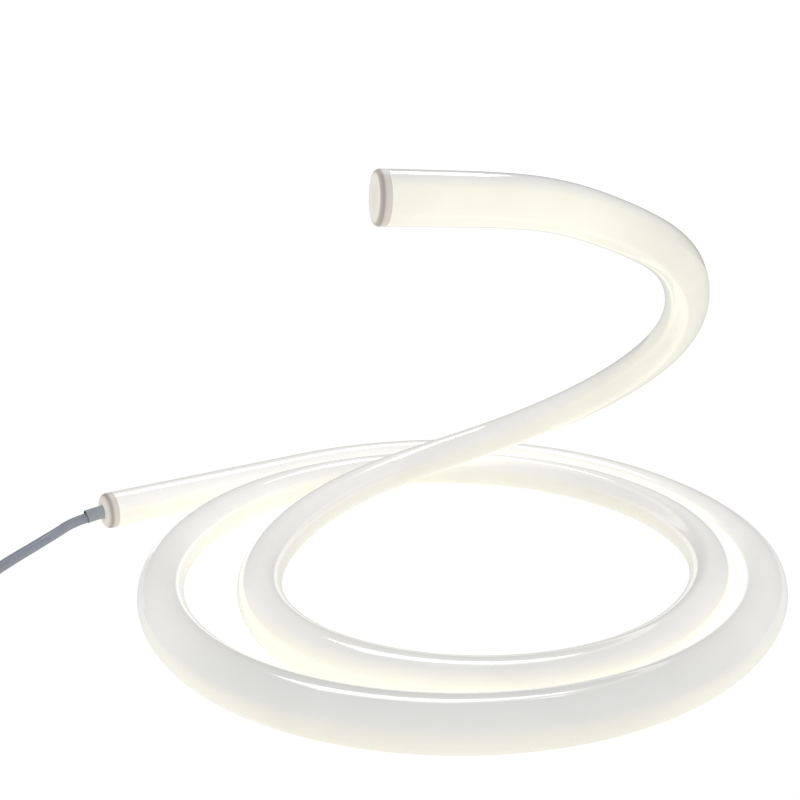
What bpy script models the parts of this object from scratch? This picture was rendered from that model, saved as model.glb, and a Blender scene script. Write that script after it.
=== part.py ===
"""Flexible LED strip: a round, milky silicone light tube laid in two flat laps on the floor, whose
free end rises over the back of the laps and ends in the air above their front. A grey lead leaves
its other end, and the lead's spare length lies coiled beside it.

Metres, +Z up. The tube rests on Z = 0, and X = Y = 0 is the middle of the tube's own outline.
The front of the laps, above which the raised end points to the left, is -Y.
"""

from math import cos, pi, radians, sin, sqrt

import bmesh
import bpy
import numpy as np
from mathutils import Matrix, Vector

# Light tube
TUBE_DIAMETER = 0.022
CORE_DIAMETER = 0.0094
TUBE_SIDES = 16
CORE_SIDES = 8
SECTION_SPACING = 0.018

# Pieces that touch keep this gap
FIT_GAP = 0.0003

# End caps: a disc flush with the tube, and a spigot that plugs the tube's bore
CAP_LENGTH = 0.0045
CAP_EDGE_ROUND = 0.0012
CAP_EDGE_STEPS = 3
SPIGOT_LENGTH = 0.006

# Sleeve that the lead comes out of, and the lead
SLEEVE_DIAMETER = 0.008
SLEEVE_LENGTH = 0.012
SLEEVE_EDGE = 0.0006
CORD_DIAMETER = 0.006
CORD_POINT_SPACING = 0.014
CORD_STRAIGHT = 0.004

# Spare length of the lead: a flat coil of round turns, lying on the floor
COIL_MEAN_DIAMETER = 0.060
COIL_TURNS_ACROSS = 3
COIL_TURNS_HIGH = 2
COIL_EDGE = 0.0025
COIL_CENTRE = Vector((-0.267, -0.052, 0.0))
# Where the lead joins the coil's outer turn and leaves its upper one: angles turned clockwise, seen
# from above, from the back of the coil
COIL_ENTRY_ANGLE = radians(98)
COIL_EXIT_ANGLE = radians(290)
TAIL_LENGTH = 0.016

# Low-voltage barrel plug on the lead's far end
PLUG_DIAMETER = 0.0105
PLUG_BODY_LENGTH = 0.022
PLUG_EDGE = 0.0010
RELIEF_LENGTH = 0.012
RELIEF_END_DIAMETER = 0.0074
RELIEF_SHOULDER_DIAMETER = 0.0088
BARREL_DIAMETER = 0.0055
BARREL_BORE = 0.0021
BARREL_LENGTH = 0.0095
BARREL_FLOOR = 0.0010
PLUG_SIDES = 20

# Route of the strip's centre line, end cap to end cap. It runs clockwise, seen from above, around the
# middle of the laps. A station lies at each eighth of a turn, and gives the line's distance from
# that middle: back, back right, right, front right, front, front left, left, back left.
STATION_STEP = 45
INNER_LAP = [0.1590, 0.1290, 0.1075, 0.1065, 0.1270, 0.1410, 0.1290, 0.1305]
LAP_GAP = [0.0130, 0.0050, 0.0025, 0.0015, 0.0035, 0.0155, 0.0305, 0.0255]
LEAD_IN_GAP = 0.0050
LEAD_IN_ANGLE = -40
LEAD_IN_LENGTH = 0.139
# The stretch after the laps starts at the back, where it passes over them
RISE_RADIUS = [0.1495, 0.1260, 0.0855, 0.0675, 0.0730, 0.1260]
LIFT_ANGLE = 585
LIFT_HEIGHT = [0.0, 0.0010, 0.0060]
CROSSING_CLEARANCE = 0.0020
RISE_ABOVE_CROSSING = [0.0, 0.0635, 0.1225, 0.1485, 0.1620, 0.1640]
# From here on the raised end runs straight
FREE_END_ANGLE = 922
FREE_END_LENGTH = 0.0345

# The lead's route from the sleeve to the coil, at the height of its centre
CORD_ROUTE = [
    (-0.2075, 0.0375, 0.0076),
    (-0.2135, 0.0295, 0.0042),
    (-0.2175, 0.0195, 0.0032),
    (-0.2215, 0.0030, 0.0031),
    (-0.2255, -0.0160, 0.0031),
]

SILICONE = (0.86, 0.84, 0.78, 1.0)
CAP_SILICONE = (0.78, 0.75, 0.68, 1.0)
LAMP_WHITE = (0.95, 0.90, 0.72, 1.0)
SLEEVE_GREY = (0.30, 0.31, 0.33, 1.0)
CORD_GREY = (0.25, 0.28, 0.32, 1.0)
PLUG_GREY = (0.10, 0.11, 0.12, 1.0)
NICKEL = (0.62, 0.60, 0.56, 1.0)


def clear_scene():
    for obj in list(bpy.data.objects):
        bpy.data.objects.remove(obj, do_unlink=True)


def material(name, colour, roughness, metallic=0.0):
    made = bpy.data.materials.new(name)
    made.use_nodes = True
    shader = made.node_tree.nodes["Principled BSDF"]
    shader.inputs["Base Color"].default_value = colour
    shader.inputs["Roughness"].default_value = roughness
    shader.inputs["Metallic"].default_value = metallic
    made.diffuse_color = colour
    return made


def smooth_function(knots, values, level_start=False):
    """A function that runs through the values at the knots, as a cubic between each two of them.
    Its ends bend freely, or its start is level."""
    x = np.array(knots, float)
    y = np.array(values, float)
    last = len(x) - 1
    step = np.diff(x)
    slope = np.diff(y) / step
    system = np.zeros((last + 1, last + 1))
    right = np.zeros(last + 1)
    system[0, 0] = system[last, last] = 1.0
    if level_start:
        system[0, :2] = 2 * step[0], step[0]
        right[0] = 6 * slope[0]
    for i in range(1, last):
        system[i, i - 1 : i + 2] = step[i - 1], 2 * (step[i - 1] + step[i]), step[i]
        right[i] = 6 * (slope[i] - slope[i - 1])
    bend = np.linalg.solve(system, right)

    def value(at):
        i = np.clip(np.searchsorted(x, at) - 1, 0, last - 1)
        before = at - x[i]
        after = x[i + 1] - at
        curved = (bend[i] * after**3 + bend[i + 1] * before**3) / (6 * step[i])
        from_left = (y[i] / step[i] - bend[i] * step[i] / 6) * after
        from_right = (y[i + 1] / step[i] - bend[i + 1] * step[i] / 6) * before
        return curved + from_left + from_right

    return value


def strip_line():
    """The strip's centre line as closely spaced points, from its cable end to its free end."""
    outer_lap = [r + TUBE_DIAMETER + gap for r, gap in zip(INNER_LAP, LAP_GAP)]
    lead_in = outer_lap[-1] + TUBE_DIAMETER + LEAD_IN_GAP
    radii = [lead_in] + outer_lap + INNER_LAP + RISE_RADIUS
    radius = smooth_function([STATION_STEP * (i - 1) for i in range(len(radii))], radii)
    crossing = TUBE_DIAMETER + CROSSING_CLEARANCE
    heights = LIFT_HEIGHT + [crossing + h for h in RISE_ABOVE_CROSSING]
    lift_angles = [LIFT_ANGLE + STATION_STEP * i for i in range(len(heights))]
    height = smooth_function(lift_angles, heights, level_start=True)

    angle = np.arange(LEAD_IN_ANGLE, FREE_END_ANGLE + 1)
    turn = np.radians(angle)
    lifted = np.where(angle > LIFT_ANGLE, height(np.maximum(angle, LIFT_ANGLE)), 0.0)
    flat = radius(angle)[:, None] * np.stack([np.sin(turn), np.cos(turn)], 1)
    laps = np.column_stack([flat, lifted + TUBE_DIAMETER / 2])
    outwards = laps[0] - laps[1]
    outwards /= np.linalg.norm(outwards)
    straight = np.arange(LEAD_IN_LENGTH, 0, -SECTION_SPACING / 4)[:, None]
    onwards = laps[-1] - laps[-2]
    onwards /= np.linalg.norm(onwards)
    free_end = np.linspace(0, FREE_END_LENGTH, 9)[1:, None]
    line = np.concatenate([laps[0] + straight * outwards, laps, laps[-1] + free_end * onwards])

    along = np.gradient(line, axis=0)
    along /= np.linalg.norm(along, axis=1)[:, None]
    reach = TUBE_DIAMETER / 2 * np.sqrt(1 - along**2)
    middle = ((line - reach).min(0) + (line + reach).max(0)) / 2
    line[:, :2] -= middle[:2]
    return line


def evenly_spaced(line, spacing, trim=0.0):
    """Points along the line at about this spacing, without a trimmed length at each end."""
    line = np.array(line, float)
    run = np.concatenate([[0], np.cumsum(np.linalg.norm(np.diff(line, axis=0), axis=1))])
    pieces = max(1, round((run[-1] - 2 * trim) / spacing))
    at = np.linspace(trim, run[-1] - trim, pieces + 1)
    return [Vector([np.interp(d, run, line[:, axis]) for axis in range(3)]) for d in at]


def smooth_line(route, fineness=24):
    """Closely spaced points of one smooth curve through the route's own points."""
    points = np.array(route, float)
    knots = np.concatenate([[0], np.cumsum(np.linalg.norm(np.diff(points, axis=0), axis=1))])
    at = np.linspace(0, knots[-1], fineness * len(points))
    return np.stack([smooth_function(knots, points[:, axis])(at) for axis in range(3)], 1)


def cord_points(route, spacing):
    """Points for a cord along the route, whose first and last stretches stay straight."""
    line = smooth_line(route)
    return [Vector(line[0])] + evenly_spaced(line, spacing, trim=CORD_STRAIGHT) + [Vector(line[-1])]


def directions(points):
    """The way the line runs at each of its points."""
    ahead = points[1:] + points[-1:]
    behind = points[:1] + points[:-1]
    return [(b - a).normalized() for a, b in zip(behind, ahead)]


def frame_at(point, along):
    """A matrix at the point whose Z runs along the line and whose X stays level."""
    side = Vector((0, 0, 1)).cross(along).normalized()
    up = along.cross(side)
    return Matrix.Translation(point) @ Matrix((side, up, along)).transposed().to_4x4()


def finished(bm, name, finish, smooth_angle):
    bmesh.ops.recalc_face_normals(bm, faces=bm.faces)
    mesh = bpy.data.meshes.new(name)
    bm.to_mesh(mesh)
    bm.free()
    mesh.shade_smooth()
    mesh.set_sharp_from_angle(angle=radians(smooth_angle))
    mesh.materials.append(finish)
    obj = bpy.data.objects.new(name, mesh)
    bpy.context.scene.collection.objects.link(obj)
    return obj


def ring(bm, place, radius, sides, along=0.0):
    """Vertices around place's Z axis. The radius is to the flats, and one flat faces down."""
    corner = radius / cos(pi / sides)
    turns = [2 * pi * (k + 0.5) / sides for k in range(sides)]
    return [bm.verts.new(place @ Vector((corner * cos(t), corner * sin(t), along))) for t in turns]


def join_rings(bm, rings):
    for near, far in zip(rings, rings[1:]):
        for k in range(len(near)):
            bm.faces.new((near[k], near[k - 1], far[k - 1], far[k]))


def ring_edges(bm, verts):
    return [bm.edges.get((a, b)) for a, b in zip(verts, verts[1:] + verts[:1])]


def swept(name, points, diameter, sides, finish, bore=None, bore_sides=None):
    """A rod along the points, or a pipe where it has a bore."""
    bm = bmesh.new()
    places = [frame_at(p, way) for p, way in zip(points, directions(points))]
    outer = [ring(bm, place, diameter / 2, sides) for place in places]
    join_rings(bm, outer)
    if bore is None:
        bm.faces.new(outer[0])
        bm.faces.new(outer[-1])
    else:
        inner = [ring(bm, place, bore / 2, bore_sides) for place in places]
        join_rings(bm, inner)
        for rim, mouth in ((outer[0], inner[0]), (outer[-1], inner[-1])):
            bmesh.ops.triangle_fill(bm, edges=ring_edges(bm, rim) + ring_edges(bm, mouth))
    return finished(bm, name, finish, smooth_angle=50)


def turned(name, profile, place, sides, finish):
    """A body turned about place's Z axis, from (distance along it, radius) points."""
    bm = bmesh.new()
    rings = [ring(bm, place, radius, sides, along) for along, radius in profile]
    join_rings(bm, rings)
    bm.faces.new(rings[0])
    bm.faces.new(rings[-1])
    return finished(bm, name, finish, smooth_angle=35)


def tube_curve(name, points, diameter, finish):
    data = bpy.data.curves.new(name, "CURVE")
    data.dimensions = "3D"
    data.bevel_depth = diameter / 2
    data.bevel_resolution = 3
    data.use_fill_caps = True
    data.materials.append(finish)
    spline = data.splines.new("POLY")
    spline.points.add(len(points) - 1)
    for target, point in zip(spline.points, points):
        target.co = (*point, 1.0)
    obj = bpy.data.objects.new(name, data)
    bpy.context.scene.collection.objects.link(obj)
    return obj


def strip(silicone, lamp):
    """The tube and its core, and the places of the tube's two ends with their Z pointing outwards."""
    line = strip_line()
    cap_share = CAP_LENGTH + FIT_GAP
    points = evenly_spaced(line, SECTION_SPACING, trim=cap_share)
    bore = CORE_DIAMETER + 2 * FIT_GAP
    swept("diffuser_tube", points, TUBE_DIAMETER, TUBE_SIDES, silicone, bore, CORE_SIDES)
    ways = directions(points)
    behind_spigot = SPIGOT_LENGTH + FIT_GAP
    core = list(points)
    core[0] = points[0] + ways[0] * behind_spigot
    core[-1] = points[-1] - ways[-1] * behind_spigot
    swept("led_core", core, CORE_DIAMETER, CORE_SIDES, lamp)
    return frame_at(points[0], -ways[0]), frame_at(points[-1], ways[-1])


def end_cap(name, place, finish):
    outside = TUBE_DIAMETER / 2
    spigot = CORE_DIAMETER / 2
    face = FIT_GAP + CAP_LENGTH
    profile = [(-SPIGOT_LENGTH, spigot), (FIT_GAP, spigot), (FIT_GAP, outside)]
    for k in range(CAP_EDGE_STEPS + 1):
        t = pi / 2 * k / CAP_EDGE_STEPS
        rounded = CAP_EDGE_ROUND * (1 - sin(t)), CAP_EDGE_ROUND * (1 - cos(t))
        profile.append((face - rounded[0], outside - rounded[1]))
    return turned(name, profile, place, TUBE_SIDES, finish)


def cable_sleeve(place, finish):
    """The sleeve on the cap's face, and the place of its mouth."""
    foot = CAP_LENGTH + 2 * FIT_GAP
    mouth = foot + SLEEVE_LENGTH
    radius = SLEEVE_DIAMETER / 2
    profile = [(foot, radius), (mouth - SLEEVE_EDGE, radius), (mouth, radius - SLEEVE_EDGE)]
    turned("cable_sleeve", profile, place, TUBE_SIDES, finish)
    return place @ Matrix.Translation((0, 0, mouth))


def coil_radii():
    band = COIL_TURNS_ACROSS * CORD_DIAMETER
    return (COIL_MEAN_DIAMETER - band) / 2, (COIL_MEAN_DIAMETER + band) / 2


def cord_coil(finish):
    """The coiled turns as one turned ring with its edges taken off."""
    inner, outer = coil_radii()
    height = COIL_TURNS_HIGH * CORD_DIAMETER
    section = []
    corners = ((inner, 0, 1, 1), (outer, 0, -1, 1), (outer, height, -1, -1), (inner, height, 1, -1))
    for r, z, inwards, upwards in corners:
        beside = (r, z + upwards * COIL_EDGE)
        level = (r + inwards * COIL_EDGE, z)
        section += [beside, level] if inwards == upwards else [level, beside]
    bm = bmesh.new()
    steps = 2 * PLUG_SIDES
    rings = []
    for k in range(steps):
        t = 2 * pi * k / steps
        rings.append([bm.verts.new(COIL_CENTRE + Vector((r * cos(t), r * sin(t), z))) for r, z in section])
    for k, here in enumerate(rings):
        before = rings[k - 1]
        for j in range(len(section)):
            bm.faces.new((before[j - 1], here[j - 1], here[j], before[j]))
    return finished(bm, "cord_coil", finish, smooth_angle=40)


def on_turn(angle, radius):
    """A point of a turn of this radius, and the way the cord runs there."""
    point = COIL_CENTRE + radius * Vector((sin(angle), cos(angle), 0))
    return point, Vector((cos(angle), -sin(angle), 0))


def clear_of_coil(turn_radius, half_width):
    """How far a straight piece of this half width is from its point of tangency where it is clear."""
    return sqrt((coil_radii()[1] + FIT_GAP) ** 2 - (turn_radius - half_width) ** 2)


def power_cord(mouth, finish):
    """The lead from the sleeve to the coil's outer turn."""
    start = mouth @ Vector((0, 0, FIT_GAP))
    straight = mouth @ Vector((0, 0, FIT_GAP + CORD_STRAIGHT))
    half = CORD_DIAMETER / 2
    turn_radius = coil_radii()[1] - half
    touch, way = on_turn(COIL_ENTRY_ANGLE, turn_radius)
    end = touch - way * clear_of_coil(turn_radius, half)
    end.z = CORD_ROUTE[-1][2]
    route = [start, straight] + CORD_ROUTE + [end - way * CORD_STRAIGHT, end]
    tube_curve("power_cord", cord_points(route, CORD_POINT_SPACING), CORD_DIAMETER, finish)


def cord_tail(finish):
    """The lead's end from the coil's upper turn down to the plug, and the place where the plug starts."""
    half = CORD_DIAMETER / 2
    turn_radius = COIL_MEAN_DIAMETER / 2 + half
    touch, way = on_turn(COIL_EXIT_ANGLE, turn_radius)
    leaves = clear_of_coil(turn_radius, half)
    high = COIL_TURNS_HIGH * CORD_DIAMETER - half
    low = PLUG_DIAMETER / 2
    route = []
    for run, z in ((0, high), (CORD_STRAIGHT, high), (TAIL_LENGTH - CORD_STRAIGHT, low), (TAIL_LENGTH, low)):
        route.append(touch + way * (leaves + run) + Vector((0, 0, z)))
    tube_curve("cord_tail", cord_points(route, CORD_DIAMETER / 2), CORD_DIAMETER, finish)
    return frame_at(route[-1] + way * FIT_GAP, way)


def barrel_plug(place, plastic, metal):
    """A moulded plug whose tapered tail takes the lead, with a hollow contact barrel in front."""
    radius = PLUG_DIAMETER / 2
    front = RELIEF_LENGTH + PLUG_BODY_LENGTH
    profile = [
        (0, RELIEF_END_DIAMETER / 2),
        (RELIEF_LENGTH, RELIEF_SHOULDER_DIAMETER / 2),
        (RELIEF_LENGTH, radius - PLUG_EDGE / 2),
        (RELIEF_LENGTH + PLUG_EDGE, radius),
        (front - PLUG_EDGE, radius),
        (front, radius - PLUG_EDGE),
    ]
    turned("plug_body", profile, place, PLUG_SIDES, plastic)
    base = front + FIT_GAP
    tip = base + BARREL_LENGTH
    barrel = [
        (base, BARREL_DIAMETER / 2),
        (tip, BARREL_DIAMETER / 2),
        (tip, BARREL_BORE / 2),
        (base + BARREL_FLOOR, BARREL_BORE / 2),
    ]
    turned("plug_barrel", barrel, place, PLUG_SIDES, metal)


def build():
    clear_scene()
    silicone = material("milky_silicone", SILICONE, 0.25)
    cap_silicone = material("cap_silicone", CAP_SILICONE, 0.4)
    lamp = material("led_core", LAMP_WHITE, 0.6)
    sleeve_rubber = material("sleeve_rubber", SLEEVE_GREY, 0.5)
    cord_jacket = material("cord_jacket", CORD_GREY, 0.45)
    plug_plastic = material("plug_plastic", PLUG_GREY, 0.4)
    nickel = material("nickel_plate", NICKEL, 0.25, metallic=1.0)

    cable_end, free_end = strip(silicone, lamp)
    end_cap("end_cap_cable", cable_end, cap_silicone)
    end_cap("end_cap_free", free_end, cap_silicone)
    mouth = cable_sleeve(cable_end, sleeve_rubber)
    power_cord(mouth, cord_jacket)
    cord_coil(cord_jacket)
    plug_place = cord_tail(cord_jacket)
    barrel_plug(plug_place, plug_plastic, nickel)


build()
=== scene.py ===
"""Flexible LED strip: a round, milky silicone light tube in two flat laps with its free end raised,
lit from inside, with the moulded caps on its ends and the grey lead whose spare length lies coiled.

Metres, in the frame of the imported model: +Z up, the floor at Z = 0, the front of the laps at -Y.
"""

from math import cos, pi, radians, sin, sqrt

import bmesh
import bpy
import numpy as np
from mathutils import Matrix, Vector


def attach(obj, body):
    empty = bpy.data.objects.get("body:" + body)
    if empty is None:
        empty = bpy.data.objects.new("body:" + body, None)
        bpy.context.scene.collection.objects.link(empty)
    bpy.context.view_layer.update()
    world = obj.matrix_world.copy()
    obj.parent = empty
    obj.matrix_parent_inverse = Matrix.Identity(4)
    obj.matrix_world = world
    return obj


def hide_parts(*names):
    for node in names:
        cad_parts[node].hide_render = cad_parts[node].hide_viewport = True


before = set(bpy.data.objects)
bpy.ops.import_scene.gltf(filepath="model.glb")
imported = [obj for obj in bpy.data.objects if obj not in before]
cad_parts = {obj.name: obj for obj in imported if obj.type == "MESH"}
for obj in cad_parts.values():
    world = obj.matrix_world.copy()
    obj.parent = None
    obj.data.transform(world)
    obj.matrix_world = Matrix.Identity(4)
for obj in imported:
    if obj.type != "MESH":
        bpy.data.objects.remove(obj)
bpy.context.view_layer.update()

# Light tube
TUBE_DIAMETER = 0.022
TUBE_BORE = 0.010
TUBE_SIDES = 64
SECTION_SPACING = 0.0036
MOUTH_DEPTH = 0.008
FIT_GAP = 0.0003

# End caps, and the sleeve that the lead comes out of. The lead starts inside the sleeve, where part of
# the sleeve's droop is reached, and sags in its mouth
CAP_LENGTH = 0.0045
CAP_SIDES = 96
SLEEVE_LENGTH = 0.012
SLEEVE_DROOP = 0.0010
SLEEVE_SIDES = 64
SLEEVE_RIBS = 6
SLEEVE_MOUTH_RINGS = 3
LEAD_START = 0.0066
DROOP_AT_LEAD_START = 0.22
LEAD_SAG = 0.0006

# Lead and its coil
CORD_DIAMETER = 0.006
CORD_POINT_SPACING = 0.006
CORD_FLOOR_GAP = 0.0001
COIL_MEAN_DIAMETER = 0.060
COIL_TURNS_ACROSS = 3
COIL_TURNS_HIGH = 2
COIL_CENTRE = Vector((-0.267, -0.052, 0.0))
COIL_ENTRY_ANGLE = 98
COIL_EXIT_ANGLE = 290
COIL_POINT_STEP = 20
COIL_WHOLE_TURNS = 4
STRAIGHT_BEFORE_COIL = 0.006
TAIL_LENGTH = 0.016
TAIL_LEVEL_LENGTH = 0.015

# Where along the coil, in degrees, the lead moves inwards or outwards by its own thickness or half of
# it, climbs onto the turns on the floor, and beds down between two of them
COIL_INWARDS = [(380, 458), (740, 818)]
COIL_HALF_OUTWARDS = (1140, 1200)
COIL_OUTWARDS = (1360, 1440)
COIL_CLIMB = (1030, 1125)
COIL_BEDDED = [(1190, 1230), (1320, 1365)]
BEDDING_DEPTH = 0.0006

# Strap round the coil. Its degrees run round the bundle of turns, and after a full turn it laps over
# its own start
STRAP_ANGLE = 200
STRAP_WIDTH = 0.0045
STRAP_THICKNESS = 0.0007
STRAP_GAP = 0.0001
STRAP_START = 50
STRAP_END = 500
STRAP_STEP = 6
STRAP_LAP_RISE = (380, 412)
STRAP_LAP_HEIGHT = 1.06
STRAP_TIP_ANGLE = 26
STRAP_FLOOR_GAP = 0.00005
STRAP_CORNERS = [(-1, -0.6), (-0.9, -1), (0.9, -1), (1, -0.6), (1, 0.6), (0.9, 1), (-0.9, 1), (-1, 0.6)]

# Barrel plug
PLUG_DIAMETER = 0.0105
PLUG_BODY_LENGTH = 0.022
RELIEF_LENGTH = 0.012
BARREL_DIAMETER = 0.0055
BARREL_BORE = 0.0021
BARREL_LENGTH = 0.0095
BARREL_HELD_LENGTH = 0.0006
PLUG_RELIEF_RIBS = 6
PLUG_GRIP_RINGS = 5
PLUG_SIDES = 64

# The strip's route, as in the solid model: distances from the middle of the laps at each eighth of a
# turn, clockwise from the back
STATION_STEP = 45
INNER_LAP = [0.1590, 0.1290, 0.1075, 0.1065, 0.1270, 0.1410, 0.1290, 0.1305]
LAP_GAP = [0.0130, 0.0050, 0.0025, 0.0015, 0.0035, 0.0155, 0.0305, 0.0255]
LEAD_IN_GAP = 0.0050
LEAD_IN_ANGLE = -40
LEAD_IN_LENGTH = 0.139
LEAD_IN_STEP = 0.0045
RISE_RADIUS = [0.1495, 0.1260, 0.0855, 0.0675, 0.0730, 0.1260]
LIFT_ANGLE = 585
LIFT_HEIGHT = [0.0, 0.0010, 0.0060]
CROSSING_CLEARANCE = 0.0020
RISE_ABOVE_CROSSING = [0.0, 0.0635, 0.1225, 0.1485, 0.1620, 0.1640]
FREE_END_ANGLE = 922
FREE_END_LENGTH = 0.0345

# Painted light and shade on the tube's glow: how much more or less of it there is at the back, on the
# lifted part and on the second lap's open side, and how much of that last is lost where the tube is lifted
GLOW_AT_BACK = 0.08
GLOW_LIFTED = -0.12
GLOW_OPEN_SIDE = -0.20
LIFTED_LOSS = -0.75
# Where the painted warmer light of the tube's lower side reaches higher up, in radii of the tube
WARM_RAISED = -0.22
WARM_NEAR_LAP = -0.50
# Distances along the tube from its cable end between which the second lap begins
SECOND_LAP = (1.18, 1.28)
# Middle of the raised end's brightest stretch of painted light
BRIGHT_STRETCH = (0.040, -0.098, 0.188)

# Sizes of the surfaces' patterns, and how often the die lines change per metre along and around
CLOUD_SIZE = 0.045
DIE_LINES_PER_METRE = (4.0, 800.0, 1.0)
LED_PITCH = 0.0083
MOULD_GRAIN = 0.0008
RUBBER_PATCH = 0.012
TURNING_MARKS = 0.0006

# The lead's route from the sleeve to the coil, within 1.5 mm of the solid model's, with a steadier bend
CORD_ROUTE = [
    (-0.2061, 0.0372, 0.0078),
    (-0.2111, 0.0308, 0.0056),
    (-0.2154, 0.0232, 0.0040),
    (-0.2186, 0.0138, 0.0033),
    (-0.2215, 0.0030, 0.0031),
    (-0.2255, -0.0160, 0.0031),
]

# The photo's camera: metres, degrees below the level, and millimetres of lens on a 36 mm sensor
CAMERA_PLACE = (-0.00717, -0.46663, 0.19841)
CAMERA_TILT = 12.723
CAMERA_LENS = 39.70


def photo_camera():
    data = bpy.data.cameras.new("photo_camera")
    data.sensor_width = 36
    data.lens = CAMERA_LENS
    data.clip_start = 0.01
    data.clip_end = 50
    camera = bpy.data.objects.new("photo_camera", data)
    camera.location = CAMERA_PLACE
    camera.rotation_euler = (radians(90 - CAMERA_TILT), 0, 0)
    bpy.context.scene.collection.objects.link(camera)
    bpy.context.scene.camera = camera


def linear(hex_colour):
    """The linear RGBA of an sRGB colour written as RRGGBB."""
    parts = [int(hex_colour[k : k + 2], 16) / 255 for k in (0, 2, 4)]
    return (*[c / 12.92 if c <= 0.04045 else ((c + 0.055) / 1.055) ** 2.4 for c in parts], 1.0)


def add_node(tree, kind, inputs=(), **settings):
    """Adds a node with its settings. Inputs are pairs of a socket and either its value or the socket
    that feeds it."""
    node = tree.nodes.new(kind)
    for name, value in settings.items():
        setattr(node, name, value)
    for socket, value in inputs:
        if isinstance(value, bpy.types.NodeSocket):
            tree.links.new(value, node.inputs[socket])
        else:
            node.inputs[socket].default_value = value
    return node


def bare_material(name):
    made = bpy.data.materials.new(name)
    made.use_nodes = True
    tree = made.node_tree
    tree.nodes.clear()
    return made, tree


def smooth_function(knots, values, level_start=False):
    """A function that runs through the values at the knots, as a cubic between each two of them.
    Its ends bend freely, or its start is level."""
    x = np.array(knots, float)
    y = np.array(values, float)
    last = len(x) - 1
    step = np.diff(x)
    slope = np.diff(y) / step
    system = np.zeros((last + 1, last + 1))
    right = np.zeros(last + 1)
    system[0, 0] = system[last, last] = 1.0
    if level_start:
        system[0, :2] = 2 * step[0], step[0]
        right[0] = 6 * slope[0]
    for i in range(1, last):
        system[i, i - 1 : i + 2] = step[i - 1], 2 * (step[i - 1] + step[i]), step[i]
        right[i] = 6 * (slope[i] - slope[i - 1])
    bend = np.linalg.solve(system, right)

    def value(at):
        i = np.clip(np.searchsorted(x, at) - 1, 0, last - 1)
        before = at - x[i]
        after = x[i + 1] - at
        curved = (bend[i] * after**3 + bend[i + 1] * before**3) / (6 * step[i])
        from_left = (y[i] / step[i] - bend[i] * step[i] / 6) * after
        from_right = (y[i + 1] / step[i] - bend[i + 1] * step[i] / 6) * before
        return curved + from_left + from_right

    return value


def strip_line():
    """The strip's centre line as closely spaced points, from its cable end to its free end."""
    outer_lap = [r + TUBE_DIAMETER + gap for r, gap in zip(INNER_LAP, LAP_GAP)]
    lead_in = outer_lap[-1] + TUBE_DIAMETER + LEAD_IN_GAP
    radii = [lead_in] + outer_lap + INNER_LAP + RISE_RADIUS
    radius = smooth_function([STATION_STEP * (i - 1) for i in range(len(radii))], radii)
    crossing = TUBE_DIAMETER + CROSSING_CLEARANCE
    heights = LIFT_HEIGHT + [crossing + h for h in RISE_ABOVE_CROSSING]
    lift_angles = [LIFT_ANGLE + STATION_STEP * i for i in range(len(heights))]
    height = smooth_function(lift_angles, heights, level_start=True)

    angle = np.arange(LEAD_IN_ANGLE, FREE_END_ANGLE + 1)
    turn = np.radians(angle)
    lifted = np.where(angle > LIFT_ANGLE, height(np.maximum(angle, LIFT_ANGLE)), 0.0)
    flat = radius(angle)[:, None] * np.stack([np.sin(turn), np.cos(turn)], 1)
    laps = np.column_stack([flat, lifted + TUBE_DIAMETER / 2])
    outwards = laps[0] - laps[1]
    outwards /= np.linalg.norm(outwards)
    straight = np.arange(LEAD_IN_LENGTH, 0, -LEAD_IN_STEP)[:, None]
    onwards = laps[-1] - laps[-2]
    onwards /= np.linalg.norm(onwards)
    free_end = np.linspace(0, FREE_END_LENGTH, 9)[1:, None]
    line = np.concatenate([laps[0] + straight * outwards, laps, laps[-1] + free_end * onwards])

    along = np.gradient(line, axis=0)
    along /= np.linalg.norm(along, axis=1)[:, None]
    reach = TUBE_DIAMETER / 2 * np.sqrt(1 - along**2)
    middle = ((line - reach).min(0) + (line + reach).max(0)) / 2
    line[:, :2] -= middle[:2]
    return line


def evenly_spaced(line, spacing, trim=0.0):
    """Points along the line at about this spacing, without a trimmed length at each end."""
    line = np.array(line, float)
    run = np.concatenate([[0], np.cumsum(np.linalg.norm(np.diff(line, axis=0), axis=1))])
    pieces = max(1, round((run[-1] - 2 * trim) / spacing))
    at = np.linspace(trim, run[-1] - trim, pieces + 1)
    return [Vector([np.interp(d, run, line[:, axis]) for axis in range(3)]) for d in at]


def smooth_line(route):
    """Closely spaced points of one smooth curve through the route's own points."""
    fineness = 24
    points = np.array(route, float)
    knots = np.concatenate([[0], np.cumsum(np.linalg.norm(np.diff(points, axis=0), axis=1))])
    at = np.linspace(0, knots[-1], fineness * len(points))
    return np.stack([smooth_function(knots, points[:, axis])(at) for axis in range(3)], 1)


def directions(points):
    """The way the line runs at each of its points."""
    ahead = points[1:] + points[-1:]
    behind = points[:1] + points[:-1]
    return [(b - a).normalized() for a, b in zip(behind, ahead)]


def frame_at(point, along):
    """A matrix at the point whose Z runs along the line and whose X stays level."""
    side = Vector((0, 0, 1)).cross(along).normalized()
    up = along.cross(side)
    return Matrix.Translation(point) @ Matrix((side, up, along)).transposed().to_4x4()


def ring(bm, place, radius, sides, along=0.0):
    turns = [2 * pi * k / sides for k in range(sides)]
    return [bm.verts.new(place @ Vector((radius * cos(t), radius * sin(t), along))) for t in turns]


def join_rings(bm, rings):
    """Faces between the rings. The UV map holds the real size: U along and V around, in metres."""
    uv = bm.loops.layers.uv.verify()
    run = 0.0
    for near, far in zip(rings, rings[1:]):
        step = (far[0].co - near[0].co).length
        side = (near[1].co - near[0].co).length
        for k in range(len(near)):
            face = bm.faces.new((near[k - 1], near[k], far[k], far[k - 1]))
            corners = ((run, k), (run, k + 1), (run + step, k + 1), (run + step, k))
            for loop, (u, v) in zip(face.loops, corners):
                loop[uv].uv = (u, v * side)
        run += step


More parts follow.
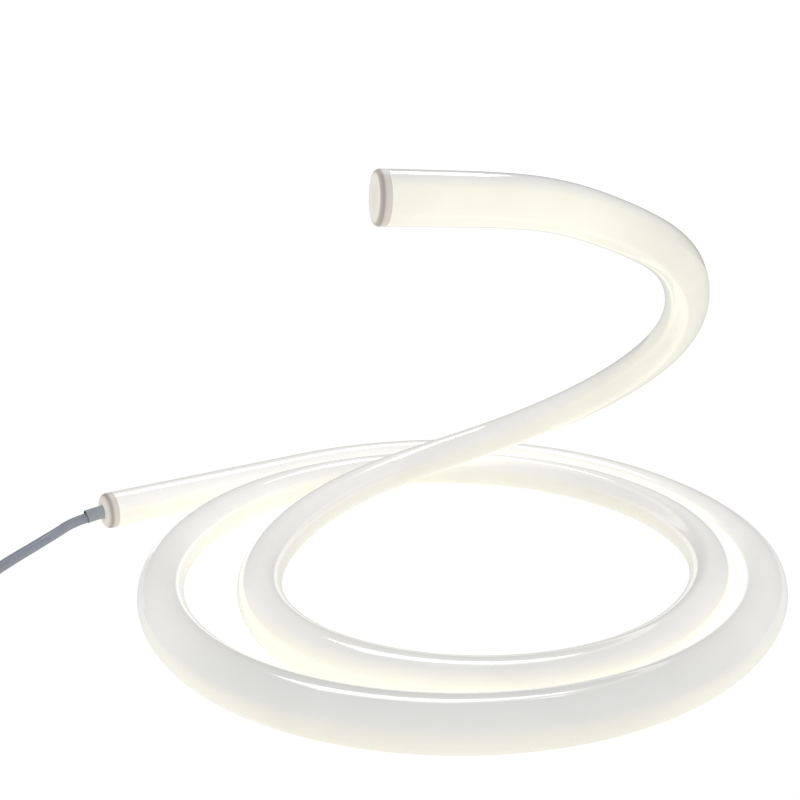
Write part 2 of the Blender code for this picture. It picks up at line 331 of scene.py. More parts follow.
def finished(bm, name, finish, smooth_angle=40):
    bmesh.ops.recalc_face_normals(bm, faces=bm.faces)
    mesh = bpy.data.meshes.new(name)
    bm.to_mesh(mesh)
    bm.free()
    mesh.shade_smooth()
    mesh.set_sharp_from_angle(angle=radians(smooth_angle))
    mesh.materials.append(finish)
    piece = bpy.data.objects.new(name, mesh)
    bpy.context.scene.collection.objects.link(piece)
    return piece


def turned(name, profile, place, sides, finish, smooth_angle):
    """A body turned about place's Z axis, from (distance along it, radius) points in millimetres."""
    bm = bmesh.new()
    rings = [ring(bm, place, radius / 1000, sides, along / 1000) for along, radius in profile]
    join_rings(bm, rings)
    bm.faces.new(rings[0])
    bm.faces.new(rings[-1])
    return finished(bm, name, finish, smooth_angle)


def turn_axes(angle):
    """Outwards from the coil's middle at this angle, and along its turns there."""
    t = radians(angle)
    return (sin(t), cos(t)), (cos(t), -sin(t))


def on_turn(angle, radius, height=0.0):
    """A point of a turn of this radius, and the way the cord runs there."""
    outwards, along = turn_axes(angle)
    point = COIL_CENTRE + Vector((radius * outwards[0], radius * outwards[1], height))
    return point, Vector((*along, 0))


def clear_of_coil(turn_radius, half_width):
    """How far a straight piece of this half width is from its point of tangency where it is clear."""
    outer = (COIL_MEAN_DIAMETER + COIL_TURNS_ACROSS * CORD_DIAMETER) / 2
    return sqrt((outer + FIT_GAP) ** 2 - (turn_radius - half_width) ** 2)


def eased(at, starts, ends):
    """0 before the start, 1 after the end, and a smooth way between."""
    t = min(1.0, max(0.0, (at - starts) / (ends - starts)))
    return t * t * (3 - 2 * t)


def coil_points():
    """The coiled length: three turns inwards on the floor, up over them, and back outwards on top."""
    half = CORD_DIAMETER / 2
    outer = COIL_MEAN_DIAMETER / 2 + CORD_DIAMETER
    low = half + CORD_FLOOR_GAP
    high = COIL_TURNS_HIGH * CORD_DIAMETER - half
    end = COIL_EXIT_ANGLE + COIL_WHOLE_TURNS * 360
    count = round((end - COIL_ENTRY_ANGLE) / COIL_POINT_STEP)
    points = []
    for k in range(count + 1):
        angle = COIL_ENTRY_ANGLE + (end - COIL_ENTRY_ANGLE) * k / count
        inwards = eased(angle, *COIL_INWARDS[0]) + eased(angle, *COIL_INWARDS[1])
        outwards = 0.5 * eased(angle, *COIL_HALF_OUTWARDS) + eased(angle, *COIL_OUTWARDS)
        radius = outer - CORD_DIAMETER * (inwards - outwards)
        bedded = eased(angle, *COIL_BEDDED[0]) - eased(angle, *COIL_BEDDED[1])
        height = low + (high - low) * eased(angle, *COIL_CLIMB) - BEDDING_DEPTH * bedded
        points.append(on_turn(angle, radius, height)[0])
    return points


def lead_points(cap_face):
    """The lead from inside its sleeve, along the floor, through the coil and to the plug."""
    out = Vector(cap_face.col[2][:3])
    foot = cap_face.translation
    drop = Vector((0, 0, -1))
    in_sleeve = foot + out * LEAD_START + drop * SLEEVE_DROOP * DROOP_AT_LEAD_START
    mouth = foot + out * SLEEVE_LENGTH + drop * SLEEVE_DROOP
    lead_mouth = mouth + drop * LEAD_SAG
    half = CORD_DIAMETER / 2
    turn_radius = COIL_MEAN_DIAMETER / 2 + CORD_DIAMETER
    touch, way = on_turn(COIL_ENTRY_ANGLE, turn_radius, CORD_ROUTE[-1][2])
    near_coil = touch - way * clear_of_coil(turn_radius, half)
    route = [in_sleeve, lead_mouth] + CORD_ROUTE + [near_coil, touch - way * STRAIGHT_BEFORE_COIL]
    laid = evenly_spaced(smooth_line(route), CORD_POINT_SPACING)

    turn_radius = COIL_MEAN_DIAMETER / 2 + half
    high = COIL_TURNS_HIGH * CORD_DIAMETER - half
    low = PLUG_DIAMETER / 2
    leave, way = on_turn(COIL_EXIT_ANGLE, turn_radius)
    run = clear_of_coil(turn_radius, half) + TAIL_LENGTH
    tail = []
    tail_points = 8
    for k in range(1, tail_points + 1):
        along = run * k / tail_points
        height = high + (low - high) * eased(along, TAIL_LEVEL_LENGTH, run - 0.001)
        tail.append(leave + way * along + Vector((0, 0, height)))
    coil = coil_points()
    return laid + coil + tail, mouth, frame_at(tail[-1] + way * FIT_GAP, way)


def lead(points, finish):
    data = bpy.data.curves.new("lead", "CURVE")
    data.dimensions = "3D"
    data.resolution_u = 5
    data.bevel_depth = CORD_DIAMETER / 2
    data.bevel_resolution = 6
    data.use_fill_caps = True
    data.materials.append(finish)
    spline = data.splines.new("BEZIER")
    spline.bezier_points.add(len(points) - 1)
    for knot, point in zip(spline.bezier_points, points):
        knot.co = point
        knot.handle_left_type = knot.handle_right_type = "AUTO"
    piece = bpy.data.objects.new("lead", data)
    bpy.context.scene.collection.objects.link(piece)
    return piece


def coil_strap(finish):
    """A strap drawn round the coil's turns, its rounded end lapped over its start on top of them."""
    outwards, along = [Vector((*pair, 0)) for pair in turn_axes(STRAP_ANGLE)]
    half = CORD_DIAMETER / 2
    outer = COIL_MEAN_DIAMETER / 2 + CORD_DIAMETER
    turns = [(outer - CORD_DIAMETER * k, half) for k in (0, 1, 2)]
    turns += [(outer - CORD_DIAMETER * k, COIL_TURNS_HIGH * CORD_DIAMETER - half) for k in (0.5, 1.5)]
    bm = bmesh.new()
    rings = []
    for angle in range(STRAP_START, STRAP_END + 1, STRAP_STEP):
        t = radians(angle)
        sideways, up = cos(t), sin(t)
        layers = 0.5 + STRAP_LAP_HEIGHT * eased(angle, *STRAP_LAP_RISE)
        reach = half + STRAP_GAP + STRAP_THICKNESS * layers
        across, height = max(turns, key=lambda turn: turn[0] * sideways + turn[1] * up)
        height = max(height + reach * up, STRAP_THICKNESS / 2 + STRAP_FLOOR_GAP)
        centre = COIL_CENTRE + outwards * (across + reach * sideways) + Vector((0, 0, height))
        off = outwards * sideways + Vector((0, 0, up))
        narrowing = 1 - 0.75 * eased(angle, STRAP_END - STRAP_TIP_ANGLE, STRAP_END) ** 2
        outline = []
        for w, h in STRAP_CORNERS:
            corner = along * (w * narrowing * STRAP_WIDTH / 2) + off * (h * STRAP_THICKNESS / 2)
            outline.append(bm.verts.new(centre + corner))
        rings.append(outline)
    join_rings(bm, rings)
    bm.faces.new(rings[0])
    bm.faces.new(rings[-1])
    return finished(bm, "coil_strap", finish, smooth_angle=30)


def light_tube(points, finish):
    """The tube along its whole line. Each end is flat, with the start of the bore in it."""
    bm = bmesh.new()
    places = [frame_at(p, way) for p, way in zip(points, directions(points))]
    outer = [ring(bm, place, TUBE_DIAMETER / 2, TUBE_SIDES) for place in places]
    join_rings(bm, outer)
    ends = (0, len(places) - 1)
    for at in ends:
        mouth = ring(bm, places[at], TUBE_BORE / 2, TUBE_SIDES)
        inside = 1 if at == 0 else -1
        deeper = ring(bm, places[at], TUBE_BORE / 2, TUBE_SIDES, along=inside * MOUTH_DEPTH)
        join_rings(bm, [outer[at], mouth, deeper])
        bm.faces.new(deeper)
    return finished(bm, "light_tube", finish, smooth_angle=50)


# The caps from the tube's end plane outwards: the distance along the tube and the radius, both in
# millimetres, of spigot, skirt, rounded edge and face. The third value is painted shade: how much
# darker the cap is painted there, with less of its painted glow, most of all on the rounded edge and
# in the socket. The cap round the lead is longer and rounder, with a socket for the sleeve.
CAP_SPIGOT = [
    (-6.0, 4.4, 0.45),
    (-5.7, 4.7, 0.45),
    (0.0, 4.7, 0.45),
    (0.0, 10.8, 0.45),
    (0.15, 10.96, 0.45),
]
FREE_CAP = CAP_SPIGOT + [
    (0.5, 11.0, 0.45),
    (1.2, 11.0, 0.45),
    (2.0, 11.0, 0.47),
    (2.6, 11.0, 0.53),
    (2.95, 10.98, 0.75),
    (3.25, 10.92, 1.0),
    (3.6, 10.82, 1.0),
    (3.95, 10.68, 1.0),
    (4.2, 10.54, 0.95),
    (4.4, 10.37, 0.75),
    (4.55, 10.18, 0.80),
    (4.66, 9.95, 0.75),
    (4.74, 9.65, 0.45),
    (4.78, 9.2, 0.10),
    (4.80, 8.5, 0.0),
    (4.80, 7.0, 0.0),
    (4.80, 5.2, 0.05),
    (4.80, 2.6, 0.08),
    (4.80, 0.4, 0.08),
]
CABLE_CAP = CAP_SPIGOT + [
    (0.5, 11.0, 0.45),
    (1.5, 11.0, 0.45),
    (2.6, 11.0, 0.48),
    (3.3, 10.97, 0.60),
    (3.9, 10.88, 0.85),
    (4.4, 10.72, 1.0),
    (4.9, 10.48, 1.0),
    (5.35, 10.16, 0.85),
    (5.75, 9.78, 0.60),
    (6.1, 9.34, 0.42),
    (6.4, 8.84, 0.32),
    (6.68, 8.2, 0.26),
    (6.9, 7.5, 0.24),
    (7.05, 6.7, 0.26),
    (7.12, 5.9, 0.30),
    (7.15, 5.0, 0.38),
    (7.12, 4.35, 0.55),
    (6.9, 4.08, 1.0),
    (4.80, 4.06, 1.0),
    (4.80, 0.4, 1.0),
]


def note_rings(piece, name, values, sides):
    """Keeps one value for each ring of the piece, for its material to read."""
    noted = piece.data.attributes.new(name, "FLOAT", "POINT")
    for k, point in enumerate(noted.data):
        point.value = values[k // sides]


def end_cap(name, outline, place, finish):
    profile = [(along, radius) for along, radius, painted_cap_shade in outline]
    cap = turned(name, profile, place, CAP_SIDES, finish, smooth_angle=60)
    # Each ring's painted shade
    note_rings(cap, "painted_cap_shade", [painted_cap_shade for along, radius, painted_cap_shade in outline], CAP_SIDES)
    return cap


def lead_sleeve(cap_face, finish):
    """A ribbed sleeve that droops a little towards its open mouth. Its profile is in millimetres."""
    out = Vector(cap_face.col[2][:3])
    foot = cap_face.translation
    drop = Vector((0, 0, -1))
    length = SLEEVE_LENGTH * 1000
    rib_pitch = 1.25
    profile = [(-0.25, 4.0), (1.5, 4.0), (3.2, 4.0)]
    for k in range(SLEEVE_RIBS):
        rib = length - 8.0 + rib_pitch * k
        profile += [(rib - 0.34, 3.86), (rib - 0.12, 4.05), (rib + 0.12, 4.05), (rib + 0.34, 3.86)]
    profile += [(length - 0.9, 4.02), (length - 0.3, 4.08), (length - 0.08, 4.05), (length, 3.98)]
    profile += [(length - 0.04, 3.88), (length - 0.3, 3.82), (length - 3.0, 3.70), (length - 6.5, 3.50)]
    bm = bmesh.new()
    rings = []
    for along, radius in profile:
        t = along / length
        centre = foot + out * (along / 1000) + drop * SLEEVE_DROOP * t * t
        way = (out + drop * (2 * t * SLEEVE_DROOP / SLEEVE_LENGTH)).normalized()
        rings.append(ring(bm, frame_at(centre, way), radius / 1000, SLEEVE_SIDES))
    join_rings(bm, rings)
    bm.faces.new(rings[0])
    bm.faces.new(rings[-1])
    sleeve = finished(bm, "lead_sleeve", finish, smooth_angle=50)
    outside = len(rings) - SLEEVE_MOUTH_RINGS
    # The rings inside the mouth are painted dark, as shade
    note_rings(sleeve, "painted_mouth_shade", [0.0] * outside + [1.0] * SLEEVE_MOUTH_RINGS, SLEEVE_SIDES)
    return sleeve


def barrel_plug(place, plastic, metal, insulation):
    """A moulded plug with a ribbed tail and grip rings, and its hollow barrel with an insulated tip.
    The profiles are in millimetres, from the plug's tail forwards."""
    relief = RELIEF_LENGTH * 1000
    body = PLUG_BODY_LENGTH * 1000
    front = relief + body
    radius = PLUG_DIAMETER / 2 * 1000
    rib_pitch = 1.75
    grip_pitch = 1.7
    profile = [(0, 3.25), (0.15, 3.55), (0.5, 3.68)]
    for k in range(PLUG_RELIEF_RIBS):
        at = 1.0 + rib_pitch * k
        wide = 3.72 + 0.65 * at / relief
        profile += [(at, wide), (at + 0.85, wide + 0.04), (at + 1.0, wide - 0.55), (at + 1.55, wide - 0.5)]
    profile += [(relief - 0.25, 4.38), (relief, 4.42), (relief + 0.15, 4.9), (relief + 0.6, radius - 0.05)]
    profile += [(relief + 1.2, radius), (relief + 7.0, radius)]
    for k in range(PLUG_GRIP_RINGS):
        at = relief + 7.6 + grip_pitch * k
        profile += [(at, radius), (at + 0.2, radius - 0.28), (at + 0.7, radius - 0.28), (at + 0.9, radius)]
    profile += [(front - 1.1, radius), (front - 0.5, radius - 0.12), (front - 0.15, radius - 0.45)]
    barrel = BARREL_DIAMETER / 2 * 1000
    profile += [(front, radius - 0.9), (front, barrel + 0.15)]
    shell = turned("plug_shell", profile, place, PLUG_SIDES, plastic, smooth_angle=35)

    held = BARREL_HELD_LENGTH * 1000
    base = front + FIT_GAP * 1000 - held
    tip = base + BARREL_LENGTH * 1000 + held
    bore = BARREL_BORE / 2 * 1000
    outside = [(base, barrel), (tip - 1.2, barrel), (tip - 1.15, barrel - 0.12), (tip - 1.1, bore + 0.9)]
    contact = turned("plug_contact", outside, place, PLUG_SIDES, metal, smooth_angle=35)
    rim = [(tip - 1.25, barrel - 0.18), (tip - 0.35, barrel - 0.18), (tip - 0.1, barrel - 0.3)]
    rim += [(tip, barrel - 0.55), (tip, bore + 0.12), (tip - 0.2, bore), (tip - 6.5, bore)]
    nose = turned("plug_nose", rim, place, PLUG_SIDES, insulation, smooth_angle=35)
    return shell, contact, nose


def milky_silicone():
    """Extruded silicone, milky and lit from inside. It is glossy and slightly cloudy, and the extrusion
    leaves very faint lengthwise lines. Its lower side has painted light, a warmer and brighter glow; on
    the raised end that painted glow reaches higher up the side, and one stretch of it is painted the
    brightest."""
    made, tree = bare_material("milky_silicone_extruded")
    place = add_node(tree, "ShaderNodeTexCoord")
    geometry = add_node(tree, "ShaderNodeNewGeometry")
    facing = add_node(tree, "ShaderNodeSeparateXYZ", [("Vector", geometry.outputs["Normal"])])
    position = add_node(tree, "ShaderNodeSeparateXYZ", [("Vector", place.outputs["Object"])])
    # Painted light: the lower side's warmer, brighter glow, which reaches higher up on the raised end
    raised = add_node(
        tree,
        "ShaderNodeMapRange",
        [("Value", position.outputs["Z"]), ("From Min", 0.03), ("From Max", 0.17)],
        interpolation_type="SMOOTHSTEP",
    )
    turned_down = add_node(
        tree,
        "ShaderNodeMath",
        [(0, raised.outputs["Result"]), (1, WARM_RAISED), (2, facing.outputs["Z"])],
        operation="MULTIPLY_ADD",
    )
    # Faint clouds, because the milky filler isn't spread quite evenly in the wall
    cloud = add_node(
        tree,
        "ShaderNodeTexNoise",
        [
            ("Vector", place.outputs["Object"]),
            ("Scale", 1 / CLOUD_SIZE),
            ("Detail", 3.0),
            ("Roughness", 0.55),
        ],
    )
    cloudy = add_node(
        tree,
        "ShaderNodeMapRange",
        [
            ("Value", cloud.outputs["Fac"]),
            ("From Min", 0.3),
            ("From Max", 0.7),
            ("To Min", 0.96),
            ("To Max", 1.04),
        ],
    )
    # Painted shade: the front of the laps is the dimmest, on its upper side most of all, and the lifted
    # part is a little dimmer than the laps
    behind = add_node(
        tree,
        "ShaderNodeMapRange",
        [("Value", position.outputs["Y"]), ("From Min", -0.185), ("From Max", -0.085)],
        interpolation_type="SMOOTHSTEP",
    )
    # The clouds, with painted light at the back of the laps
    clouds_and_painted_back_light = add_node(
        tree,
        "ShaderNodeMath",
        [(0, behind.outputs["Result"]), (1, GLOW_AT_BACK), (2, cloudy.outputs["Result"])],
        operation="MULTIPLY_ADD",
    )
    lifted = add_node(
        tree,
        "ShaderNodeMapRange",
        [("Value", position.outputs["Z"]), ("From Min", 0.025), ("From Max", 0.060)],
        interpolation_type="SMOOTHSTEP",
    )
    lift_dimmed = add_node(
        tree,
        "ShaderNodeMath",
        [(0, lifted.outputs["Result"]), (1, GLOW_LIFTED), (2, clouds_and_painted_back_light.outputs["Value"])],
        operation="MULTIPLY_ADD",
    )
    # Painted shade: from the second lap on, the side that faces into the coil is dimmer, with no turn
    # beside it, and a quarter as much where the tube is lifted
    on_the_flat = add_node(
        tree,
        "ShaderNodeVectorMath",
        [(0, place.outputs["Object"]), (1, (1.0, 1.0, 0.0))],
        operation="MULTIPLY",
    )
    outwards = add_node(
        tree,
        "ShaderNodeVectorMath",
        [(0, on_the_flat.outputs["Vector"]), (1, geometry.outputs["Normal"])],
        operation="DOT_PRODUCT",
    )
    open_side = add_node(
        tree,
        "ShaderNodeMapRange",
        [
            ("Value", outwards.outputs["Value"]),
            ("From Min", -0.01),
            ("From Max", -0.09),
            ("To Max", GLOW_OPEN_SIDE),
        ],
        interpolation_type="SMOOTHSTEP",
    )
    along_tube = add_node(tree, "ShaderNodeSeparateXYZ", [("Vector", place.outputs["UV"])])
    inner_turns = add_node(
        tree,
        "ShaderNodeMapRange",
        [
            ("Value", along_tube.outputs["X"]),
            ("From Min", SECOND_LAP[0]),
            ("From Max", SECOND_LAP[1]),
        ],
        interpolation_type="SMOOTHSTEP",
    )
    inner_on_floor = add_node(
        tree,
        "ShaderNodeMath",
        [(0, lifted.outputs["Result"]), (1, LIFTED_LOSS), (2, inner_turns.outputs["Result"])],
        operation="MULTIPLY_ADD",
    )
    strength = add_node(
        tree,
        "ShaderNodeMath",
        [
            (0, inner_on_floor.outputs["Value"]),
            (1, open_side.outputs["Result"]),
            (2, lift_dimmed.outputs["Value"]),
        ],
        operation="MULTIPLY_ADD",
    )
    upper_glow = add_node(
        tree,
        "ShaderNodeMix",
        [("Factor", behind.outputs["Result"]), ("A", linear("B9B7B3")), ("B", linear("CFCCC7"))],
        data_type="RGBA",
    )
    # Painted light: every turn but the outer one at the front has another turn beside it that lights its
    # lower side
    beside = add_node(
        tree,
        "ShaderNodeMapRange",
        [("Value", position.outputs["Y"]), ("From Min", -0.176), ("From Max", -0.152)],
        interpolation_type="SMOOTHSTEP",
    )
    lower_glow = add_node(
        tree,
        "ShaderNodeMix",
        [("Factor", beside.outputs["Result"]), ("A", linear("C6C2B4")), ("B", linear("D0CCBD"))],
        data_type="RGBA",
    )
    # Painted light: the brightest stretch of the raised end
    from_bright = add_node(
        tree,
        "ShaderNodeVectorMath",
        [(0, place.outputs["Object"]), (1, BRIGHT_STRETCH)],
        operation="DISTANCE",
    )
    brightest = add_node(
        tree,
        "ShaderNodeMapRange",
        [("Value", from_bright.outputs["Value"]), ("From Min", 0.085), ("From Max", 0.020)],
        interpolation_type="SMOOTHSTEP",
    )
    strongest_glow = add_node(
        tree,
        "ShaderNodeMix",
        [
            ("Factor", brightest.outputs["Result"]),
            ("A", lower_glow.outputs["Result"]),
            ("B", linear("DFDCC9")),
        ],
        data_type="RGBA",
    )
    # Painted light: the outer side of the second lap takes up the light of the lap beside it, higher up
    # than elsewhere
    near_lap = add_node(
        tree,
        "ShaderNodeMapRange",
        [
            ("Value", outwards.outputs["Value"]),
            ("From Min", 0.02),
            ("From Max", 0.09),
            ("To Max", WARM_NEAR_LAP),
        ],
        interpolation_type="SMOOTHSTEP",
    )
    lit_by_lap = add_node(
        tree,
        "ShaderNodeMath",
        [
            (0, inner_on_floor.outputs["Value"]),
            (1, near_lap.outputs["Result"]),
            (2, turned_down.outputs["Value"]),
        ],
        operation="MULTIPLY_ADD",
    )
    # How far up the side the painted warmer light of the lower side reaches
    lower = add_node(
        tree,
        "ShaderNodeMapRange",
        [("Value", lit_by_lap.outputs["Value"]), ("From Min", 0.50), ("From Max", -0.05)],
        interpolation_type="SMOOTHSTEP",
    )
    glow_colour = add_node(
        tree,
        "ShaderNodeMix",
        [
            ("Factor", lower.outputs["Result"]),
            ("A", upper_glow.outputs["Result"]),
            ("B", strongest_glow.outputs["Result"]),
        ],
        data_type="RGBA",
    )
    glow = add_node(
        tree,
        "ShaderNodeVectorMath",
        [(0, glow_colour.outputs["Result"]), ("Scale", strength.outputs["Value"])],
        operation="SCALE",
    )
    # Lengthwise die lines, drawn about 1.2 mm apart because the real ones are too fine to show
    lengthwise = add_node(
        tree, "ShaderNodeMapping", [("Vector", place.outputs["UV"]), ("Scale", DIE_LINES_PER_METRE)]
    )
    lines = add_node(
        tree,
        "ShaderNodeTexNoise",
        [("Vector", lengthwise.outputs["Vector"]), ("Scale", 1.0), ("Detail", 2.0)],
        noise_dimensions="2D",
    )
    bump = add_node(
        tree,
        "ShaderNodeBump",
        [("Height", lines.outputs["Fac"]), ("Strength", 0.02), ("Distance", 0.0002)],
    )
    sheen = add_node(
        tree,
        "ShaderNodeMapRange",
        [
            ("Value", cloud.outputs["Fac"]),
            ("From Min", 0.3),
            ("From Max", 0.7),
            ("To Min", 0.09),
            ("To Max", 0.15),
        ],
    )
    shader = add_node(
        tree,
        "ShaderNodeBsdfPrincipled",
        [
            ("Base Color", linear("C4C4C0")),
            ("Roughness", sheen.outputs["Result"]),
            ("IOR", 1.41),
            ("Coat Weight", 1.0),
            ("Coat IOR", 1.41),
            ("Coat Roughness", 0.08),
            ("Emission Color", glow.outputs["Vector"]),
            ("Emission Strength", 1.0),
            ("Normal", bump.outputs["Normal"]),
        ],
    )
    add_node(tree, "ShaderNodeOutputMaterial", [("Surface", shader.outputs["BSDF"])])
    return made


def led_core():
    """LED board cast in a soft filling, which evens out its dots of light. It is inside the tube, warm
    white and evenly bright."""
    made, tree = bare_material("warm_white_led_filling")
    place = add_node(tree, "ShaderNodeTexCoord")
    dots = add_node(
        tree, "ShaderNodeTexVoronoi", [("Vector", place.outputs["Object"]), ("Scale", 1 / LED_PITCH)]
    )
    colour = add_node(
        tree,
        "ShaderNodeMix",
        [("Factor", dots.outputs["Distance"]), ("A", linear("FFF3D6")), ("B", linear("F4D79A"))],
        data_type="RGBA",
    )
    shader = add_node(
        tree,
        "ShaderNodeBsdfPrincipled",
        [
            ("Base Color", colour.outputs["Result"]),
            ("Roughness", 0.5),
            ("IOR", 1.41),
            ("Emission Color", colour.outputs["Result"]),
            ("Emission Strength", 2.0),
        ],
    )
    add_node(tree, "ShaderNodeOutputMaterial", [("Surface", shader.outputs["BSDF"])])
    return made


def cap_silicone():
    """Moulded silicone, unlit, with a painted glow for the tube's light seeping in. It is satin, with a
    faint grain from its mould, and painted darker, as shade, most of all on its rounded edge and in the
    socket for the sleeve."""
    made, tree = bare_material("cap_silicone_moulded")
    place = add_node(tree, "ShaderNodeTexCoord")
    grain = add_node(
        tree,
        "ShaderNodeTexNoise",
        [("Vector", place.outputs["Object"]), ("Scale", 1 / MOULD_GRAIN), ("Detail", 4.0)],
    )
    # Painted shade: darker colour and less painted glow on the rounded edge and in the socket
    edge = add_node(tree, "ShaderNodeAttribute", attribute_name="painted_cap_shade")
    colour = add_node(
        tree,
        "ShaderNodeMix",
        [("Factor", edge.outputs["Fac"]), ("A", linear("E0DCD5")), ("B", linear("AFA9A5"))],
        data_type="RGBA",
    )
    # Painted glow for the tube's light seeping into the cap
    seeping = add_node(
        tree,
        "ShaderNodeMix",
        [("Factor", edge.outputs["Fac"]), ("A", linear("BCB5AA")), ("B", linear("766E67"))],
        data_type="RGBA",
    )
    bump = add_node(
        tree,
        "ShaderNodeBump",
        [("Height", grain.outputs["Fac"]), ("Strength", 0.15), ("Distance", 0.0001)],
    )
    shader = add_node(
        tree,
        "ShaderNodeBsdfPrincipled",
        [
            ("Base Color", colour.outputs["Result"]),
            ("Roughness", 0.42),
            ("IOR", 1.41),
            ("Emission Color", seeping.outputs["Result"]),
            ("Emission Strength", 1.0),
            ("Normal", bump.outputs["Normal"]),
        ],
    )
    add_node(tree, "ShaderNodeOutputMaterial", [("Surface", shader.outputs["BSDF"])])
    return made


def grey_rubber(name, light, dark, roughness, grain_size, grain, mouth=None):
    """Moulded or extruded rubber or PVC: satin, with the fine grain of its mould or die and a slow drift
    from lighter to darker. The inside of a mouth may be painted darker, as painted shade."""
    made, tree = bare_material(name)
    place = add_node(tree, "ShaderNodeTexCoord")
    fine = add_node(
        tree,
        "ShaderNodeTexNoise",
        [("Vector", place.outputs["Object"]), ("Scale", 1 / grain_size), ("Detail", 5.0)],
    )
    patch = add_node(
        tree,
        "ShaderNodeTexNoise",
        [("Vector", place.outputs["Object"]), ("Scale", 1 / RUBBER_PATCH), ("Detail", 3.0)],
    )
    colour = add_node(
        tree,
        "ShaderNodeMix",
        [("Factor", patch.outputs["Fac"]), ("A", linear(dark)), ("B", linear(light))],
        data_type="RGBA",
    )
    # Painted shade inside the mouth
    if mouth:
        inside = add_node(tree, "ShaderNodeAttribute", attribute_name="painted_mouth_shade")
        colour = add_node(
            tree,
            "ShaderNodeMix",
            [("Factor", inside.outputs["Fac"]), ("A", colour.outputs["Result"]), ("B", linear(mouth))],
            data_type="RGBA",
        )
    rough = add_node(
        tree,
        "ShaderNodeMapRange",
        [
            ("Value", patch.outputs["Fac"]),
            ("From Min", 0.3),
            ("From Max", 0.7),
            ("To Min", roughness - 0.06),
            ("To Max", roughness + 0.06),
        ],
    )
    bump = add_node(
        tree,
        "ShaderNodeBump",
        [("Height", fine.outputs["Fac"]), ("Strength", grain), ("Distance", 0.0001)],
    )
    shader = add_node(
        tree,
        "ShaderNodeBsdfPrincipled",
        [
            ("Base Color", colour.outputs["Result"]),
            ("Roughness", rough.outputs["Result"]),
            ("IOR", 1.53),
            ("Normal", bump.outputs["Normal"]),
        ],
    )
    add_node(tree, "ShaderNodeOutputMaterial", [("Surface", shader.outputs["BSDF"])])
    return made


def nickel_plate():
    """Nickel-plated brass, turned. It mirrors its surroundings, slightly blurred by fine tool marks."""
    made, tree = bare_material("nickel_plate_turned")
    place = add_node(tree, "ShaderNodeTexCoord")
    marks = add_node(
        tree,
        "ShaderNodeTexNoise",
        [("Vector", place.outputs["Object"]), ("Scale", 1 / TURNING_MARKS), ("Detail", 3.0)],
    )
    rough = add_node(
        tree,
        "ShaderNodeMapRange",
        [
            ("Value", marks.outputs["Fac"]),
            ("From Min", 0.3),
            ("From Max", 0.7),
            ("To Min", 0.16),
            ("To Max", 0.26),
        ],
    )
    shader = add_node(
        tree,
        "ShaderNodeBsdfPrincipled",
        [("Base Color", linear("C9C6C0")), ("Metallic", 1.0), ("Roughness", rough.outputs["Result"])],
    )
    add_node(tree, "ShaderNodeOutputMaterial", [("Surface", shader.outputs["BSDF"])])
    return made


def white_floor():
    """A sheet of white paper under the strip, matt and without any gloss. The camera sees it as an even
    white, and the strip mirrors it as a dimmer sheet."""
    made, tree = bare_material("white_sweep_paper")
    paper = add_node(
        tree,
        "ShaderNodeBsdfPrincipled",
        [
            ("Base Color", linear("BCBCBA")),
            ("Roughness", 0.9),
            ("Specular IOR Level", 0.0),
            ("Emission Color", linear("FFFEF9")),
            ("Emission Strength", 0.32),
        ],
    )
    bright = add_node(tree, "ShaderNodeEmission", [("Color", linear("FFFFFD")), ("Strength", 1.02)])
    path = add_node(tree, "ShaderNodeLightPath")
    seen = add_node(
        tree,
        "ShaderNodeMixShader",
        [(0, path.outputs["Is Camera Ray"]), (1, paper.outputs["BSDF"]), (2, bright.outputs["Emission"])],
    )
    add_node(tree, "ShaderNodeOutputMaterial", [("Surface", seen.outputs["Shader"])])
    bm = bmesh.new()
    bmesh.ops.create_grid(bm, x_segments=8, y_segments=8, size=6.0)
    floor = finished(bm, "white_floor", made)
    floor.location.z = -0.0002


def softbox(name, place, target, width, height, power):
    """A rectangular white light of this power in watts, facing its target."""
    data = bpy.data.lights.new(name, "AREA")
    data.shape = "RECTANGLE"
    data.size = width
    data.size_y = height
    data.energy = power
    light = bpy.data.objects.new(name, data)
    light.location = place
    light.rotation_euler = (Vector(target) - Vector(place)).to_track_quat("-Z", "Y").to_euler()
    bpy.context.scene.collection.objects.link(light)
    return light


def studio():
    """White all round to the eye, with dimmer surroundings for the tube to mirror, darkest behind it,
    and one soft box high behind it, which draws the long highlights on the tube."""
    world = bpy.data.worlds.new("white_studio")
    bpy.context.scene.world = world
    world.use_nodes = True
    tree = world.node_tree
    tree.nodes.clear()
    path = add_node(tree, "ShaderNodeLightPath")
    seen = add_node(tree, "ShaderNodeBackground", [("Color", linear("FFFFFE")), ("Strength", 1.05)])
    direction = add_node(tree, "ShaderNodeTexCoord")
    across = add_node(tree, "ShaderNodeSeparateXYZ", [("Vector", direction.outputs["Generated"])])
    frontal = add_node(
        tree,
        "ShaderNodeMapRange",
        [
            ("Value", across.outputs["Y"]),
            ("From Min", -1.0),
            ("From Max", 0.9),
            ("To Min", 0.60),
            ("To Max", 0.22),
        ],
    )
    around = add_node(
        tree,
        "ShaderNodeBackground",
        [("Color", linear("F1F6FF")), ("Strength", frontal.outputs["Result"])],
    )
    mixed = add_node(
        tree,
        "ShaderNodeMixShader",
        [
            (0, path.outputs["Is Camera Ray"]),
            (1, around.outputs["Background"]),
            (2, seen.outputs["Background"]),
        ],
    )
    add_node(tree, "ShaderNodeOutputWorld", [("Surface", mixed.outputs["Shader"])])
    highlight = softbox(
        "back_softbox", place=(0.05, 1.59, 2.60), target=(0.05, 0.0, 0.05), width=1.83, height=1.0, power=30
    )
    # It shows in gloss alone, so that the tube keeps the shading of its own glow
    highlight.visible_diffuse = False
    bpy.context.scene.view_settings.view_transform = "Standard"


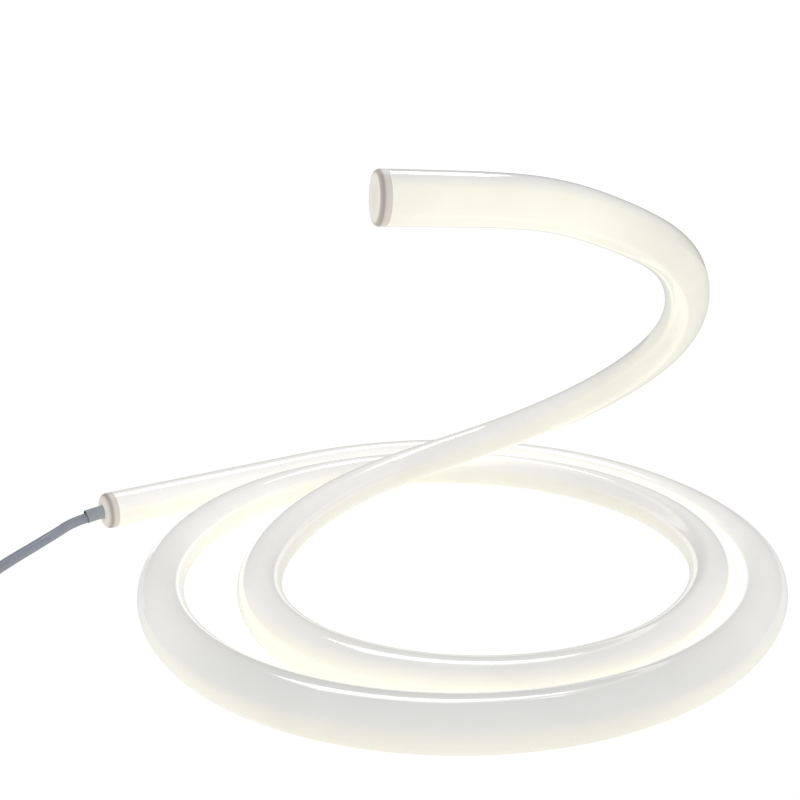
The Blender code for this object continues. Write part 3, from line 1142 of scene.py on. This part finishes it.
def build():
    """Makes every piece and puts it in the place of its solids."""
    line = strip_line()
    trim = CAP_LENGTH + FIT_GAP
    points = evenly_spaced(line, SECTION_SPACING, trim)
    ways = directions(points)
    cable_end = frame_at(points[0], -ways[0])
    free_end = frame_at(points[-1], ways[-1])
    cap_face = cable_end @ Matrix.Translation((0, 0, CAP_LENGTH + 2 * FIT_GAP))

    jacket = grey_rubber("cord_jacket_pvc_extruded", "CCCFD9", "B2B6C4", 0.42, 0.0005, 0.12)
    # The dark colour inside the sleeve's mouth is painted shade
    sleeve_rubber = grey_rubber(
        "sleeve_rubber_moulded", "D2D6DA", "C4C8CC", 0.5, 0.0004, 0.2, mouth="4A4B52"
    )
    plug_plastic = grey_rubber("plug_pvc_moulded", "55585D", "45484D", 0.45, 0.0003, 0.2)
    insulation = grey_rubber("tip_insulation_abs", "2B2C2E", "222325", 0.35, 0.0003, 0.1)
    nickel = nickel_plate()

    route, mouth, plug_place = lead_points(cap_face)
    cord = lead(route, jacket)
    sleeve = lead_sleeve(cap_face, sleeve_rubber)
    strap = coil_strap(grey_rubber("strap_pvc_moulded", "3C3E42", "303236", 0.5, 0.0003, 0.25))
    shell, contact, nose = barrel_plug(plug_place, plug_plastic, nickel, insulation)

    silicone = milky_silicone()
    caps = cap_silicone()
    tube = light_tube(points, silicone)
    cable_cap = end_cap("cable_cap", CABLE_CAP, cable_end, caps)
    free_cap = end_cap("free_cap", FREE_CAP, free_end, caps)

    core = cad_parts["led_core"]
    core.data.materials.clear()
    core.data.materials.append(led_core())

    for piece, nodes, slot in (
        (tube, ["diffuser_tube"], "milky_silicone"),
        (cable_cap, ["end_cap_cable"], "cap_silicone"),
        (free_cap, ["end_cap_free"], "cap_silicone"),
        (sleeve, ["cable_sleeve"], "sleeve_rubber"),
        (cord, ["power_cord", "cord_coil", "cord_tail"], "cord_jacket"),
        (shell, ["plug_body"], "plug_plastic"),
        (contact, ["plug_barrel"], "nickel_plate"),
        (nose, [], "plug_plastic"),
        (strap, [], "plug_plastic"),
    ):
        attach(piece, "root")
        if nodes:
            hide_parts(*nodes)


photo_camera()
build()
white_floor()
studio()
